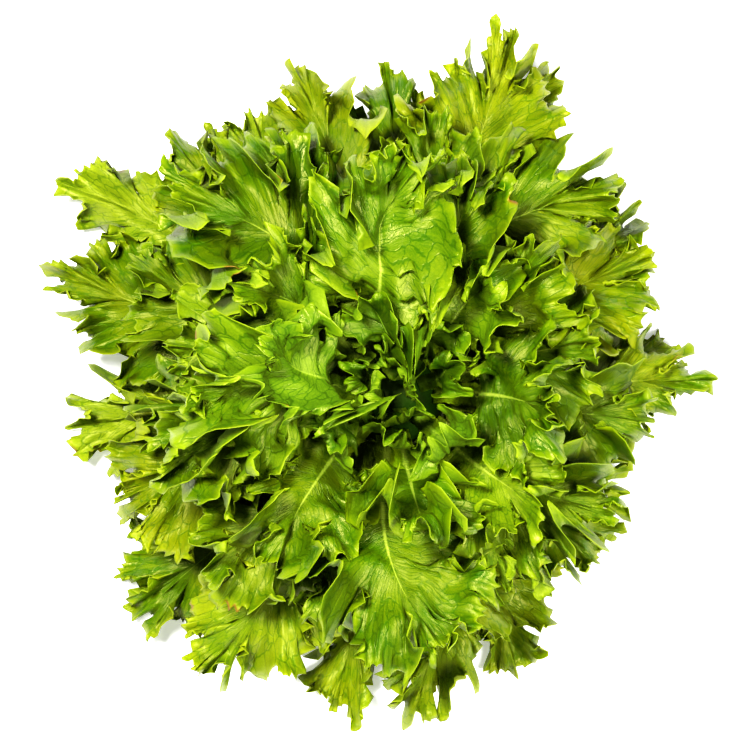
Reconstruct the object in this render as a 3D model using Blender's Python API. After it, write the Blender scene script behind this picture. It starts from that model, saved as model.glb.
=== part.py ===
"""A head of frisee lettuce that stands on its cut stem: one stem and its separate frilled leaves.

Metres, +Z up. The origin is the middle of the stem's cut face.

The space round the crown is measured by three numbers: theta, the direction seen from above; lam, the
elevation at which an arch leaves the crown; and t, the way along that arch. Arches bend outward as they
rise, and never meet, so leaves that are laid one over another in lam never cross.
"""
import bpy
import math
from collections import namedtuple
import numpy as np

# Stem: its waist is given as radius and height
CUT_FACE_RADIUS = 0.0165
CUT_EDGE = 0.001
STEM_WAIST = ((0.0185, 0.006), (0.0195, 0.014))
CROWN_RADIUS = 0.022
CROWN_MIDDLE = 0.028
CROWN_FROM = math.radians(-28.0)
CROWN_TO = math.radians(78.0)
CROWN_RINGS = 10
STEM_SIDES = 28
STEM_COLOUR = (0.62, 0.66, 0.36)
STEM_ROUGHNESS = 0.5
LEAF_COLOURS = {
    "outer": (0.17, 0.30, 0.02), "middle": (0.22, 0.38, 0.02),
    "inner": (0.26, 0.42, 0.02), "heart": (0.20, 0.33, 0.02)}
LEAF_ROUGHNESS = 0.45

# The arches that the leaves follow
BEND_GAIN = 0.80
BEND_LENGTH = 0.13
BEND_FROM = math.radians(-26.0)
BEND_FADE = 6
AXIS_LAM = math.radians(90.0)
HIGHEST_LAM = math.radians(88.0)

# The heart stands a little off the stem's axis, so the whole head leans with its height
LEAN_X = 0.10
LEAN_Y = -0.07

# Leaf sections
STALK_HALF_WIDTH = 0.0022
STALK_WIDENING = 0.06
STALK_THICKNESS = 0.0024
RIB_THICKNESS = 0.0012
BLADE_THICKNESS = 0.0008
STALK_EDGE_GAIN = 0.4
ROOT_GAP = 0.0006
LEAF_GAP = 0.0005
EDGE_MARGIN = 0.0015
FLOOR_GAP = 0.0002

# Leaf outline, as shares of the leaf's length or of its longest side vein
RIB_SHARE = 0.77
BLADE_START = {"outer": 0.30, "middle": 0.35, "inner": 0.42, "heart": 0.50}
WIDEST_SHARE = 0.5
TIP_LOBE_START = {3: 0.84, 2: 0.78, 1: 0.66}
LOBE_ROWS = (("tooth", 0.25), ("notch", 0.50), ("tooth", 0.77), ("sinus", 1.0))
TIP_ROWS = (("tooth", 0.34), ("notch", 0.66), ("tip", 1.0))
VEIN_REACH = {"stalk": 0.98, "sinus": 0.72, "tooth": 1.04, "notch": 0.93, "tip": 1.0}
VEIN_STRAY = 0.07
ROW_STRAY = 0.018
STALK_ROWS = 2
FIRST_VEIN_ANGLE = math.radians(100.0)
VEIN_ANGLE_POWER = 1.3
TIP_POWER = 4
COLUMNS = (0.0, 0.55, 1.0)

# Waves: height as a share of the longest side vein, periods in rows
WAVE_HEIGHT = {"outer": 0.17, "middle": 0.16, "inner": 0.14, "heart": 0.12}
WAVE_PERIOD = 4
SLOW_WAVE_PERIOD = 9
SLOW_WAVE_SHARE = 0.5
WAVE_STRAY = 0.25
WAVE_ROWS_TO_FULL = 3
TIP_WAVE_SHARE = 0.4
WAVE_POWER = 1.7

# The way a leaf runs: shares of its length
LINE_POINTS = 81
RISE_POWER = 1.6
SWERVE_FROM = 0.25
SWERVE_OVER = 0.5
TILT_FROM = 0.3
TILT_OVER = 0.3
BLADE_FLATNESS = 0.7

# Grid on which the leaves are laid over each other
THETA_STEPS = 720
T_STEP = 0.0015
T_STEPS = 140
LAYING_ROUNDS = 30
SMOOTHING_ROUNDS = 2
FACET_SHIFT = 0.04
INNER_REACH = 0.02
LEAST_SQUARE = 0.35
TINY = 1e-9
SHORT_ENOUGH = 1e-6
FLOOR_THICKNESS_GAIN = 1.3

# How far a leaf's own swerve and tilt stray from the table's, in degrees
VARIETY = 18.0
VARIETY_SEED = 7

# Every leaf from the lowest to the heart, in degrees, millimetres and lobes on each side: azimuth and reach
# of the tip seen from above, the tip's height above the cut face, the elevation at the crown, the longest
# side vein, and how far the blade turns sideways (swerve) and over (tilt).
RINGS = {
    "outer": (
        (186, 133, 3, -6, 40, 0, 0, 2), (8, 124, 4, -6, 36, 0, 0, 2), (260, 134, 3, -6, 38, 0, 0, 2),
        (62, 156, 5, -5, 40, 0, 0, 3), (147, 163, 10, -5, 36, 0, 0, 2), (295, 130, 3, -6, 36, 0, 0, 2),
        (115, 134, 4, -4, 40, 0, 0, 2), (222, 140, 8, -4, 42, 0, 0, 3), (338, 108, 10, -3, 38, 0, 0, 2),
        (90, 137, 14, 4, 36, 0, 0, 2),
        (160, 151, 22, 12, 36, 8, 0, 3), (37, 132, 20, 10, 38, 0, 0, 2), (273, 138, 20, 12, 34, -6, 0, 3),
        (70, 158, 30, 15, 42, 0, 0, 3), (203, 119, 30, 14, 44, 0, 8, 3), (321, 112, 25, 14, 38, 0, 0, 3),
        (237, 138, 24, 14, 38, 10, 0, 3), (2, 136, 22, 14, 30, -8, 0, 3), (130, 139, 30, 16, 38, 0, 0, 3),
        (106, 140, 34, 18, 36, -6, 0, 3), (26, 121, 36, 20, 40, 0, 0, 3),
    ),
    "middle": (
        (352, 108, 50, 24, 38, 0, 0, 2), (190, 98, 56, 25, 38, 0, -10, 2), (300, 96, 52, 25, 38, 0, 0, 2),
        (256, 100, 54, 25, 36, 0, 0, 2), (155, 113, 52, 26, 38, 0, 0, 3), (38, 118, 58, 26, 42, -26, 10, 3),
        (226, 106, 58, 27, 40, 0, 0, 3), (82, 112, 60, 27, 36, 0, 0, 2), (330, 104, 56, 28, 40, 0, -8, 3),
        (118, 112, 62, 28, 38, 0, 0, 2),
        (172, 86, 80, 37, 38, 0, 0, 2), (282, 108, 80, 37, 46, 30, 0, 3), (10, 84, 80, 38, 36, 0, 8, 2),
        (205, 96, 84, 38, 40, 0, 0, 3), (320, 80, 82, 39, 36, 0, 0, 2), (240, 84, 82, 39, 36, 0, 0, 2),
        (140, 110, 86, 40, 46, 36, 0, 3), (42, 78, 88, 40, 34, 0, 0, 2), (66, 88, 94, 41, 38, 0, 0, 3),
    ),
    "inner": (
        (345, 66, 104, 48, 34, 0, 0, 3), (285, 62, 108, 48, 34, 0, -8, 2), (150, 66, 106, 49, 36, 0, 0, 3),
        (186, 74, 112, 50, 44, 0, 0, 3), (38, 50, 112, 50, 32, 0, 0, 2), (78, 84, 110, 50, 40, -14, 0, 3),
    ),
    "heart": (
        (225, 34, 106, 57, 22, 0, 0, 1), (310, 36, 100, 57, 20, 0, 0, 1), (165, 44, 121, 58, 36, 0, 0, 2),
        (30, 34, 100, 60, 20, 0, 0, 1), (110, 30, 102, 61, 20, 0, 0, 1),
        (270, 22, 92, 65, 16, 0, 0, 1), (10, 24, 90, 66, 16, 0, 0, 1), (185, 12, 92, 67, 16, 0, 0, 1),
        (80, 14, 88, 69, 14, 0, 0, 1), (312, 17, 84, 73, 12, 0, 0, 1), (230, 7, 84, 75, 12, 0, 0, 1),
        (30, 15, 82, 77, 11, 0, 0, 1), (340, 10, 80, 82, 10, 0, 0, 1),
    ),
}

Leaf = namedtuple("Leaf", "name azimuth reach height root vein swerve tilt lobes start wave seed")


def leaves():
    """The table's leaves in metres and radians, each with a little variety of its own."""
    rng = np.random.default_rng(VARIETY_SEED)
    made = []
    for ring, rows in RINGS.items():
        for number, row in enumerate(rows, start=1):
            azimuth, reach, height, root, vein, swerve, tilt, lobes = row
            made.append(Leaf(
                name=f"{ring}_leaf_{number:02d}",
                azimuth=math.radians(azimuth), reach=reach / 1000, height=height / 1000,
                root=math.radians(root), vein=vein / 1000,
                swerve=math.radians(swerve + rng.uniform(-VARIETY, VARIETY)),
                tilt=math.radians(tilt + rng.uniform(-VARIETY, VARIETY)),
                lobes=lobes, start=BLADE_START[ring], wave=WAVE_HEIGHT[ring], seed=100 + len(made)))
    return made


# The arches

def turning(lam):
    """How fast the arch that starts at elevation lam turns outward, in radians a metre."""
    above = np.maximum(lam - BEND_FROM, 0.0)
    fade = 1.0 - np.minimum(above / (AXIS_LAM - BEND_FROM), 1.0) ** BEND_FADE
    return BEND_GAIN * above * fade / BEND_LENGTH


def arch(lam, t):
    """Distance from the axis and height of the point t along the arch that starts at elevation lam."""
    turn = turning(lam) * t
    chord = t * np.sinc(turn / (2 * math.pi))
    heading = lam - turn / 2
    out = CROWN_RADIUS * np.cos(lam) + chord * np.cos(heading)
    up = CROWN_MIDDLE + CROWN_RADIUS * np.sin(lam) + chord * np.sin(heading)
    return out, up


def pitch(lam, t):
    """The slope of the arch at t."""
    return lam - turning(lam) * t


def spread(lam, t):
    """How far two arches lie apart at t, in metres a radian: square to them, and along them."""
    step = 1e-4
    out_a, up_a = arch(lam - step, t)
    out_b, up_b = arch(lam + step, t)
    slope = pitch(lam, t)
    square = (up_b - up_a) * np.cos(slope) - (out_b - out_a) * np.sin(slope)
    along = (out_b - out_a) * np.cos(slope) + (up_b - up_a) * np.sin(slope)
    return np.maximum(square / (2 * step), CROWN_RADIUS), along / (2 * step)


def stand(theta, lam, t):
    """The point in space, before the head leans."""
    out, up = arch(lam, t)
    return np.stack([out * np.cos(theta), out * np.sin(theta), up], axis=-1)


def lean(points):
    """The points, moved sideways with their height."""
    return points + points[:, 2:] * np.array([LEAN_X, LEAN_Y, 0.0])


def find_arch(out, up):
    """lam and t of a point at distance out from the axis and height up."""
    guess = np.array([math.atan2(up - CROWN_MIDDLE, out) + 0.3, math.hypot(out, up - CROWN_MIDDLE)])
    step = 1e-5
    for _ in range(40):
        here = np.array(arch(guess[0], guess[1]))
        slopes = np.stack([
            (np.array(arch(guess[0] + step, guess[1])) - here) / step,
            (np.array(arch(guess[0], guess[1] + step)) - here) / step], axis=1)
        move = np.linalg.solve(slopes, np.array([out, up]) - here)
        guess = guess + np.clip(move, -0.1, 0.1)
    return guess


# One leaf

def row_kinds(leaf):
    """The rows of side veins from root to tip: what each ends in, and where it leaves the rib, 0 to 1."""
    kinds = ["stalk"] * STALK_ROWS + ["sinus"]
    starts = [0.0, 0.5 * leaf.start, leaf.start]
    tip_start = TIP_LOBE_START[leaf.lobes]
    for lobe in range(leaf.lobes):
        for kind, share in LOBE_ROWS:
            kinds.append(kind)
            starts.append(leaf.start + (1 - leaf.start) * tip_start * (lobe + share) / leaf.lobes)
    for kind, share in TIP_ROWS:
        kinds.append(kind)
        starts.append(leaf.start + (1 - leaf.start) * (tip_start + (1 - tip_start) * share))
    return kinds, np.array(starts)


def side_rows(leaf, length, rng):
    """For each row on one side: the vein's angle from the rib, its length, and its end's rise."""
    kinds, starts = row_kinds(leaf)
    along = np.clip((starts - leaf.start) / (1 - leaf.start), 0, 1)
    shift = np.where((along > 0) & (along < 1), rng.uniform(-ROW_STRAY, ROW_STRAY, len(along)), 0)
    along = np.clip(along + shift, 0, 1)
    angles = FIRST_VEIN_ANGLE * (1 - along ** VEIN_ANGLE_POWER)
    tip_vein = length * (1 - RIB_SHARE)
    widening = np.minimum(along / WIDEST_SHARE, 1)
    stalk = STALK_HALF_WIDTH + STALK_WIDENING * leaf.vein
    full = stalk + (leaf.vein - stalk) * widening * (2 - widening)
    full = full + (tip_vein - full) * along ** TIP_POWER
    reach = np.array([VEIN_REACH[kind] for kind in kinds])
    reach = reach * rng.uniform(1 - VEIN_STRAY, 1 + VEIN_STRAY, len(kinds))
    reach[STALK_ROWS] = 1.0
    count = np.arange(len(kinds)) - STALK_ROWS
    ramp = np.clip(count / WAVE_ROWS_TO_FULL, 0, 1)
    phase = rng.uniform(0, 2 * math.pi)
    slow_phase = rng.uniform(0, 2 * math.pi)
    wave = np.cos(count * 2 * math.pi / WAVE_PERIOD + phase)
    wave = wave + SLOW_WAVE_SHARE * np.cos(count * 2 * math.pi / SLOW_WAVE_PERIOD + slow_phase)
    wave = wave + rng.uniform(-WAVE_STRAY, WAVE_STRAY, len(kinds))
    rise = leaf.wave * full * wave * ramp
    rise[-1] = TIP_WAVE_SHARE * rise[-1]
    return angles, full * reach, rise


def leaf_plan(leaf):
    """The leaf's middle line and its rows of veins."""
    rng = np.random.default_rng(leaf.seed)
    tip_x = leaf.reach * math.cos(leaf.azimuth) - LEAN_X * leaf.height
    tip_y = leaf.reach * math.sin(leaf.azimuth) - LEAN_Y * leaf.height
    tip_lam, tip_t = find_arch(math.hypot(tip_x, tip_y), leaf.height)
    line = np.linspace(0, 1, LINE_POINTS)
    swerve = leaf.swerve * np.clip((line - SWERVE_FROM) / SWERVE_OVER, 0, 1)
    forward = np.cos(swerve)
    steps = np.concatenate([[0], np.cumsum((forward[1:] + forward[:-1]) / 2)]) / (LINE_POINTS - 1)
    length = (tip_t - ROOT_GAP) / steps[-1]
    t = ROOT_GAP + steps * length
    lam = leaf.root + (tip_lam - leaf.root) * (t / tip_t) ** RISE_POWER
    out, _ = arch(lam, t)
    drift = np.sin(swerve) / out * length / (LINE_POINTS - 1)
    theta = np.concatenate([[0], np.cumsum((drift[1:] + drift[:-1]) / 2)])
    theta = theta - theta[-1] + math.atan2(tip_y, tip_x)
    sides = {side: side_rows(leaf, length, rng) for side in (-1, 1)}
    tip_row = tuple((sides[-1][part][-1] + sides[1][part][-1]) / 2 for part in range(3))
    for side in sides:
        for part in range(3):
            sides[side][part][-1] = tip_row[part]
    return {"line": line * length, "length": length, "t": t, "lam": lam, "theta": theta,
            "swerve": swerve, "sides": sides, "starts": row_kinds(leaf)[1]}


def leaf_net(row_count, column_count):
    """Vertices as row, side and column, and triangles, of the sheet: two sides that share the rib."""
    index = {}
    vertices = []

    def vertex(row, side, column):
        side = 0 if column == 0 else side
        side = 1 if row == row_count - 1 and column else side
        key = (row, side, column)
        if key not in index:
            index[key] = len(vertices)
            vertices.append(key)
        return index[key]

    triangles = []
    for row in range(row_count - 1):
        for side in (-1, 1):
            for column in range(column_count - 1):
                a = vertex(row, side, column)
                b = vertex(row, side, column + 1)
                c = vertex(row + 1, side, column + 1)
                d = vertex(row + 1, side, column)
                halves = [(a, b, c), (a, c, d)] if (row + column) % 2 else [(a, b, d), (b, c, d)]
                triangles += halves if side == -1 else [half[::-1] for half in halves]
    last = column_count - 1
    rim = [vertex(0, -1, column) for column in range(last, 0, -1)]
    rim += [vertex(0, 1, column) for column in range(last + 1)]
    rim += [vertex(row, 1, last) for row in range(1, row_count)]
    rim += [vertex(row, -1, last) for row in range(row_count - 2, 0, -1)]
    return np.array(vertices), np.array(triangles), rim[::-1]


def leaf_sheet(leaf, plan, rows, sides, columns):
    """theta, lam and t of the sheet's points, before it is laid on the leaves below."""
    rib = plan["starts"][rows] * RIB_SHARE * plan["length"]
    angle = np.empty(len(rows))
    vein = np.empty(len(rows))
    rise = np.empty(len(rows))
    for side, (angles, veins, rises) in plan["sides"].items():
        own = (sides == side) | (sides == 0)
        angle[own] = angles[rows[own]]
        vein[own] = veins[rows[own]]
        rise[own] = rises[rows[own]]
    away = vein * columns
    across = sides * away * np.sin(angle)
    along = rib + away * np.cos(angle)
    height = rise * columns ** WAVE_POWER
    blade = np.clip((along / plan["length"] - TILT_FROM) / TILT_OVER, 0, 1)
    height = height + across * np.tan(leaf.tilt) * blade
    line = plan["line"]
    t = np.interp(along, line, plan["t"]) + np.maximum(along - line[-1], 0)
    lam = np.interp(along, line, plan["lam"])
    theta = np.interp(along, line, plan["theta"])
    swerve = np.interp(along, line, plan["swerve"])
    sideways = across * np.cos(swerve)
    t = np.maximum(t - across * np.sin(swerve), ROOT_GAP)
    out, _ = arch(lam, t)
    outward = BLADE_FLATNESS * (np.hypot(out, sideways) - out)
    slope = pitch(lam, t)
    metric, _ = spread(lam, t)
    theta = theta + np.arctan2(sideways, out)
    lam = lam + (height - outward * np.sin(slope)) / metric
    t = np.maximum(t + outward * np.cos(slope), ROOT_GAP)
    return theta, np.minimum(lam, HIGHEST_LAM), t


def half_thickness(leaf, plan, rows, columns):
    """Half of the leaf's thickness at each point: a thick stalk, a slim rib, a thin blade."""
    start = plan["starts"][rows]
    stalk = np.clip(1 - start / leaf.start, 0, 1)
    rib = RIB_THICKNESS + (STALK_THICKNESS - RIB_THICKNESS) * stalk
    edge = BLADE_THICKNESS * (1 + STALK_EDGE_GAIN * stalk)
    share = np.clip(1 - columns / COLUMNS[1] * (1 - stalk / 2), 0, 1)
    return (edge + (rib - edge) * share) / 2


def point_normals(points, triangles):
    """Normals at the sheet's points."""
    corners = points[triangles]
    face = np.cross(corners[:, 1] - corners[:, 0], corners[:, 2] - corners[:, 0])
    normals = np.zeros_like(points)
    for corner in range(3):
        np.add.at(normals, triangles[:, corner], face)
    return normals / np.linalg.norm(normals, axis=1)[:, None]


# Laying the leaves over each other

def outer_reach(theta, lam, t, triangles, rim):
    """How far past each corner's opposite edge a triangle counts as covering, as a share of its height."""
    out, _ = arch(lam, t)
    flat = np.stack([theta * out.mean(), t], axis=1)
    rim_edges = {frozenset(pair) for pair in zip(rim, rim[1:] + rim[:1])}
    reach = np.full((len(triangles), 3), INNER_REACH)
    for number, corners in enumerate(triangles):
        for corner in range(3):
            second, third = corners[(corner + 1) % 3], corners[(corner + 2) % 3]
            if frozenset((second, third)) in rim_edges:
                edge = flat[third] - flat[second]
                aside = flat[corners[corner]] - flat[second]
                area = abs(edge[0] * aside[1] - edge[1] * aside[0])
                reach[number, corner] = min(EDGE_MARGIN * math.hypot(*edge) / max(area, TINY), 1.0)
    return reach


def covered_cells(theta, lam, t, triangles, rim):
    """Grid nodes under the sheet: triangle, node and the three corners' shares."""
    reach = outer_reach(theta, lam, t, triangles, rim)
    a = theta * THETA_STEPS / (2 * math.pi)
    b = t / T_STEP
    out, _ = arch(lam, t)
    pad_x = EDGE_MARGIN / out.min() * THETA_STEPS / (2 * math.pi)
    pad_y = EDGE_MARGIN / T_STEP
    found = []
    for number, corners in enumerate(triangles):
        xs, ys = a[corners], b[corners]
        low_x, high_x = math.ceil(xs.min() - pad_x), math.floor(xs.max() + pad_x)
        low_y, high_y = max(math.ceil(ys.min() - pad_y), 0), min(math.floor(ys.max() + pad_y), T_STEPS - 1)
        area = (xs[1] - xs[0]) * (ys[2] - ys[0]) - (xs[2] - xs[0]) * (ys[1] - ys[0])
        if high_x < low_x or high_y < low_y or abs(area) < TINY:
            continue
        gx, gy = np.meshgrid(np.arange(low_x, high_x + 1), np.arange(low_y, high_y + 1))
        gx, gy = gx.ravel(), gy.ravel()
        second = ((gx - xs[0]) * (ys[2] - ys[0]) - (xs[2] - xs[0]) * (gy - ys[0])) / area
        third = ((xs[1] - xs[0]) * (gy - ys[0]) - (gx - xs[0]) * (ys[1] - ys[0])) / area
        first = 1 - second - third
        inside = (first > -reach[number, 0]) & (second > -reach[number, 1]) & (third > -reach[number, 2])
        node = (gx % THETA_STEPS) * T_STEPS + gy
        found.append(np.stack([
            np.full(inside.sum(), number), node[inside],
            first[inside], second[inside], third[inside]], axis=1))
    cells = np.concatenate(found)
    return cells[:, 0].astype(int), cells[:, 1].astype(int), cells[:, 2:]


def smooth_lift(lift, triangles):
    """Each point's lift drawn up towards the mean of its neighbours."""
    total = np.zeros_like(lift)
    count = np.zeros_like(lift)
    for first in range(3):
        for second in range(3):
            if first != second:
                np.add.at(total, triangles[:, first], lift[triangles[:, second]])
                np.add.at(count, triangles[:, first], 1)
    return np.maximum(lift, total / count)


def facet_lam(points, theta, lam, t, triangles, cells):
    """lam of the facets of points over the grid's nodes, true to the flat facets."""
    number, _, share = cells
    corners = triangles[number]
    here = (points[corners] * share[:, :, None]).sum(axis=1)
    guess_theta, guess_lam, guess_t = ((part[corners] * share).sum(axis=1) for part in (theta, lam, t))
    out, up = arch(guess_lam, guess_t)
    slope = pitch(guess_lam, guess_t)
    off_out = np.hypot(here[:, 0], here[:, 1]) - out
    off_up = here[:, 2] - up
    square, along = spread(guess_lam, guess_t)
    off_lam = (off_up * np.cos(slope) - off_out * np.sin(slope)) / square
    off_t = off_out * np.cos(slope) + off_up * np.sin(slope) - off_lam * along
    turn = np.arctan2(here[:, 1], here[:, 0]) - guess_theta
    off_theta = (turn + math.pi) % (2 * math.pi) - math.pi
    d_theta = theta[triangles[:, 1:]] - theta[triangles[:, :1]]
    d_lam = lam[triangles[:, 1:]] - lam[triangles[:, :1]]
    d_t = t[triangles[:, 1:]] - t[triangles[:, :1]]
    area = d_theta[:, 0] * d_t[:, 1] - d_theta[:, 1] * d_t[:, 0]
    area = np.where(np.abs(area) < TINY, TINY, area)
    by_theta = (d_lam[:, 0] * d_t[:, 1] - d_lam[:, 1] * d_t[:, 0]) / area
    by_t = (d_theta[:, 0] * d_lam[:, 1] - d_theta[:, 1] * d_lam[:, 0]) / area
    shift = -by_theta[number] * off_theta - by_t[number] * off_t
    return guess_lam + off_lam + np.clip(shift, -FACET_SHIFT, FACET_SHIFT)


def lay(leaf, plan, ceiling):
    """The leaf's sheet, raised wherever leaves below would touch it; ceiling is their upper side."""
    net, triangles, rim = leaf_net(len(plan["starts"]), len(COLUMNS))
    rows, sides = net[:, 0], net[:, 1]
    columns = np.array(COLUMNS)[net[:, 2]]
    theta, lam, t = leaf_sheet(leaf, plan, rows, sides, columns)
    half = half_thickness(leaf, plan, rows, columns)
    cells = covered_cells(theta, lam, t, triangles, rim)
    number, node, share = cells
    corners = triangles[number]
    below = ceiling[node]
    lift = np.zeros(len(lam))
    metric, _ = spread(lam, t)

    def faces(now):
        points = stand(theta, now, t)
        normals = point_normals(points, triangles)
        steep = stack_slope(normals, theta, now, t)
        return points, normals * half[:, None], steep

    for round_number in range(LAYING_ROUNDS):
        now = lam + lift
        points, offset, steep = faces(now)
        bottom = facet_lam(points - offset, theta, now, t, triangles, cells)
        gap = (LEAF_GAP / (metric * steep))[corners].mean(axis=1)
        short = np.maximum(below + gap - bottom, 0)
        if short.max() < SHORT_ENOUGH:
            break
        wanted = np.zeros(len(lam))
        part = short[:, None] * share / (share ** 2).sum(axis=1)[:, None]
        for corner in range(3):
            np.maximum.at(wanted, corners[:, corner], part[:, corner])
        lift = lift + wanted
        if round_number < SMOOTHING_ROUNDS:
            lift = smooth_lift(lift, triangles)
    now = lam + lift
    low = np.maximum(FLOOR_GAP + FLOOR_THICKNESS_GAIN * half - arch(now, t)[1], 0)
    now = now + low / (metric * np.maximum(np.cos(pitch(now, t)), 0.5))
    points, offset, _ = faces(now)
    top = facet_lam(points + offset, theta, now, t, triangles, cells)
    np.maximum.at(ceiling, node, top)
    return {"upper": lean(points + offset), "under": lean(points - offset), "triangles": triangles,
            "rim": rim}


def stack_slope(normals, theta, lam, t):
    """How square the sheet lies to the direction in which leaves are stacked."""
    slope = pitch(lam, t)
    up = np.stack([-np.sin(slope) * np.cos(theta), -np.sin(slope) * np.sin(theta), np.cos(slope)], axis=1)
    return np.maximum(np.abs((normals * up).sum(axis=1)), LEAST_SQUARE)


# Solids

def solid_mesh(name, laid):
    """The sheet as a closed shell: both faces split alike, joined round the rim."""
    count = len(laid["upper"])
    rim = laid["rim"]
    faces = [tuple(int(corner) for corner in face) for face in laid["triangles"]]
    faces += [tuple(corner + count for corner in face[::-1]) for face in faces]
    for here, after in zip(rim, rim[1:] + rim[:1]):
        faces.append((after, here, here + count))
        faces.append((after, here + count, after + count))
    mesh = bpy.data.meshes.new(name)
    mesh.from_pydata(np.concatenate([laid["upper"], laid["under"]]).tolist(), [], faces)
    return mesh


def finish(name, mesh, colour, roughness):
    """Adds an object of the mesh, with its own material."""
    material = bpy.data.materials.new(name)
    material.use_nodes = True
    shader = material.node_tree.nodes["Principled BSDF"]
    shader.inputs["Base Color"].default_value = (*colour, 1)
    shader.inputs["Roughness"].default_value = roughness
    shader.inputs["Metallic"].default_value = 0.0
    mesh.materials.append(material)
    thing = bpy.data.objects.new(name, mesh)
    bpy.context.scene.collection.objects.link(thing)


def stem_mesh():
    """The turned stem: flat cut face, short waist and round crown."""
    profile = [(CUT_FACE_RADIUS, 0.0), (CUT_FACE_RADIUS + CUT_EDGE, CUT_EDGE), *STEM_WAIST]
    profile += [
        (CROWN_RADIUS * math.cos(angle), CROWN_MIDDLE + CROWN_RADIUS * math.sin(angle))
        for angle in np.linspace(CROWN_FROM, CROWN_TO, CROWN_RINGS)]
    verts = [
        (radius * math.cos(turn) + LEAN_X * height, radius * math.sin(turn) + LEAN_Y * height, height)
        for radius, height in profile
        for turn in np.arange(STEM_SIDES) * 2 * math.pi / STEM_SIDES]
    faces = []
    for ring in range(len(profile) - 1):
        for side in range(STEM_SIDES):
            after = (side + 1) % STEM_SIDES
            low_ring, high_ring = ring * STEM_SIDES, (ring + 1) * STEM_SIDES
            faces.append((low_ring + side, low_ring + after, high_ring + after, high_ring + side))
    faces.append(tuple(reversed(range(STEM_SIDES))))
    faces.append(tuple(range((len(profile) - 1) * STEM_SIDES, len(profile) * STEM_SIDES)))
    mesh = bpy.data.meshes.new("stem")
    mesh.from_pydata(verts, [], faces)
    return mesh


def main():
    for thing in list(bpy.data.objects):
        bpy.data.objects.remove(thing)
    finish("stem", stem_mesh(), STEM_COLOUR, STEM_ROUGHNESS)
    ceiling = np.full(THETA_STEPS * T_STEPS, -math.inf)
    for leaf in leaves():
        laid = lay(leaf, leaf_plan(leaf), ceiling)
        ring = leaf.name.split("_")[0]
        finish(leaf.name, solid_mesh(leaf.name, laid), LEAF_COLOURS[ring], LEAF_ROUGHNESS)


main()
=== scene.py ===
"""The looks of a head of frisee: every leaf as a fine ruffled shell, laid where the solid leaves lie.

Metres, +Z up, origin in the middle of the stem's cut face, as in the frame.

The space round the crown is measured by three numbers: theta, the direction seen from above; lam, the
elevation at which an arch leaves the crown; and t, the way along that arch. Arches bend outward as they
rise, and never meet, so leaves that are laid one over another in lam never cross.

Each leaf is first laid with the few rows of veins that its solid has. The fine leaf follows that sheet, adds
teeth, ruffles, curled edges and veins, and stays between the leaves below it and those above it.
"""
import functools
import math
from collections import namedtuple
from itertools import permutations

import bpy
import numpy as np
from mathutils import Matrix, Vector


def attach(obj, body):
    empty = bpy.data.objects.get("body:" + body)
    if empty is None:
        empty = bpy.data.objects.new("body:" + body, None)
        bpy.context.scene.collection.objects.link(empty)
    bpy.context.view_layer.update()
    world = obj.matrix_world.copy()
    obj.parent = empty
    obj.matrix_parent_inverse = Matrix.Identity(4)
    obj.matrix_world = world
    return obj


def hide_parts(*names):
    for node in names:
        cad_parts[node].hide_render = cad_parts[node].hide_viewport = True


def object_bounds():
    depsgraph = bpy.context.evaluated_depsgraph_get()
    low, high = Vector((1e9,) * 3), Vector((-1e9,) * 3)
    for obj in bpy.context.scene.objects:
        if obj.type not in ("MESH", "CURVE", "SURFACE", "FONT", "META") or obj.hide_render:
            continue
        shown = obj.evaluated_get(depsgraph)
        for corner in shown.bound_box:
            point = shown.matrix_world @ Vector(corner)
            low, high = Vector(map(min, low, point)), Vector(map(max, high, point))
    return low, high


TURN = 2 * math.pi

# Stem: its waist is given as radius and height
CUT_FACE_RADIUS = 0.0165
CUT_EDGE = 0.001
STEM_WAIST = ((0.0185, 0.006), (0.0195, 0.014))
CROWN_RADIUS = 0.022
CROWN_MIDDLE = 0.028
CROWN_FROM = math.radians(-28.0)
CROWN_TO = math.radians(78.0)

# The arches that the leaves follow
BEND_GAIN = 0.80
BEND_LENGTH = 0.13
BEND_FROM = math.radians(-26.0)
BEND_FADE = 6
AXIS_LAM = math.radians(90.0)
HIGHEST_LAM = math.radians(88.0)
SPREAD_STEP = 1e-4

# The search for the arch through a point: its first guess, rounds, step and longest move
SEARCH_BEND = 0.3
SEARCH_ROUNDS = 40
SEARCH_STEP = 1e-5
SEARCH_MOVE = 0.1

# The heart stands a little off the stem's axis, so the whole head leans with its height
LEAN = np.array([0.10, -0.07, 0.0])

# Leaf sections
STALK_HALF_WIDTH = 0.0022
STALK_WIDENING = 0.06
STALK_THICKNESS = 0.0024
RIB_THICKNESS = 0.0012
BLADE_THICKNESS = 0.0008
STALK_EDGE_GAIN = 0.4
ROOT_GAP = 0.0006
LEAF_GAP = 0.0005
EDGE_MARGIN = 0.0015
FLOOR_GAP = 0.0002

# The two sides of a leaf, left and right of the rib
SIDES = (-1, 1)

# Leaf outline, as shares of the leaf's length or of its longest side vein
RIB_SHARE = 0.77
BLADE_START = {"outer": 0.30, "middle": 0.35, "inner": 0.42, "heart": 0.50}
WIDEST_SHARE = 0.5
TIP_LOBE_START = {3: 0.84, 2: 0.78, 1: 0.66}
LOBE_ROWS = (("tooth", 0.25), ("notch", 0.50), ("tooth", 0.77), ("sinus", 1.0))
TIP_ROWS = (("tooth", 0.34), ("notch", 0.66), ("tip", 1.0))
VEIN_REACH = {"stalk": 0.98, "sinus": 0.72, "tooth": 1.04, "notch": 0.93, "tip": 1.0}
VEIN_STRAY = 0.07
ROW_STRAY = 0.018
STALK_ROWS = 2
FIRST_VEIN_ANGLE = math.radians(100.0)
VEIN_ANGLE_POWER = 1.3
TIP_POWER = 4
COLUMNS = (0.0, 0.55, 1.0)

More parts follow.
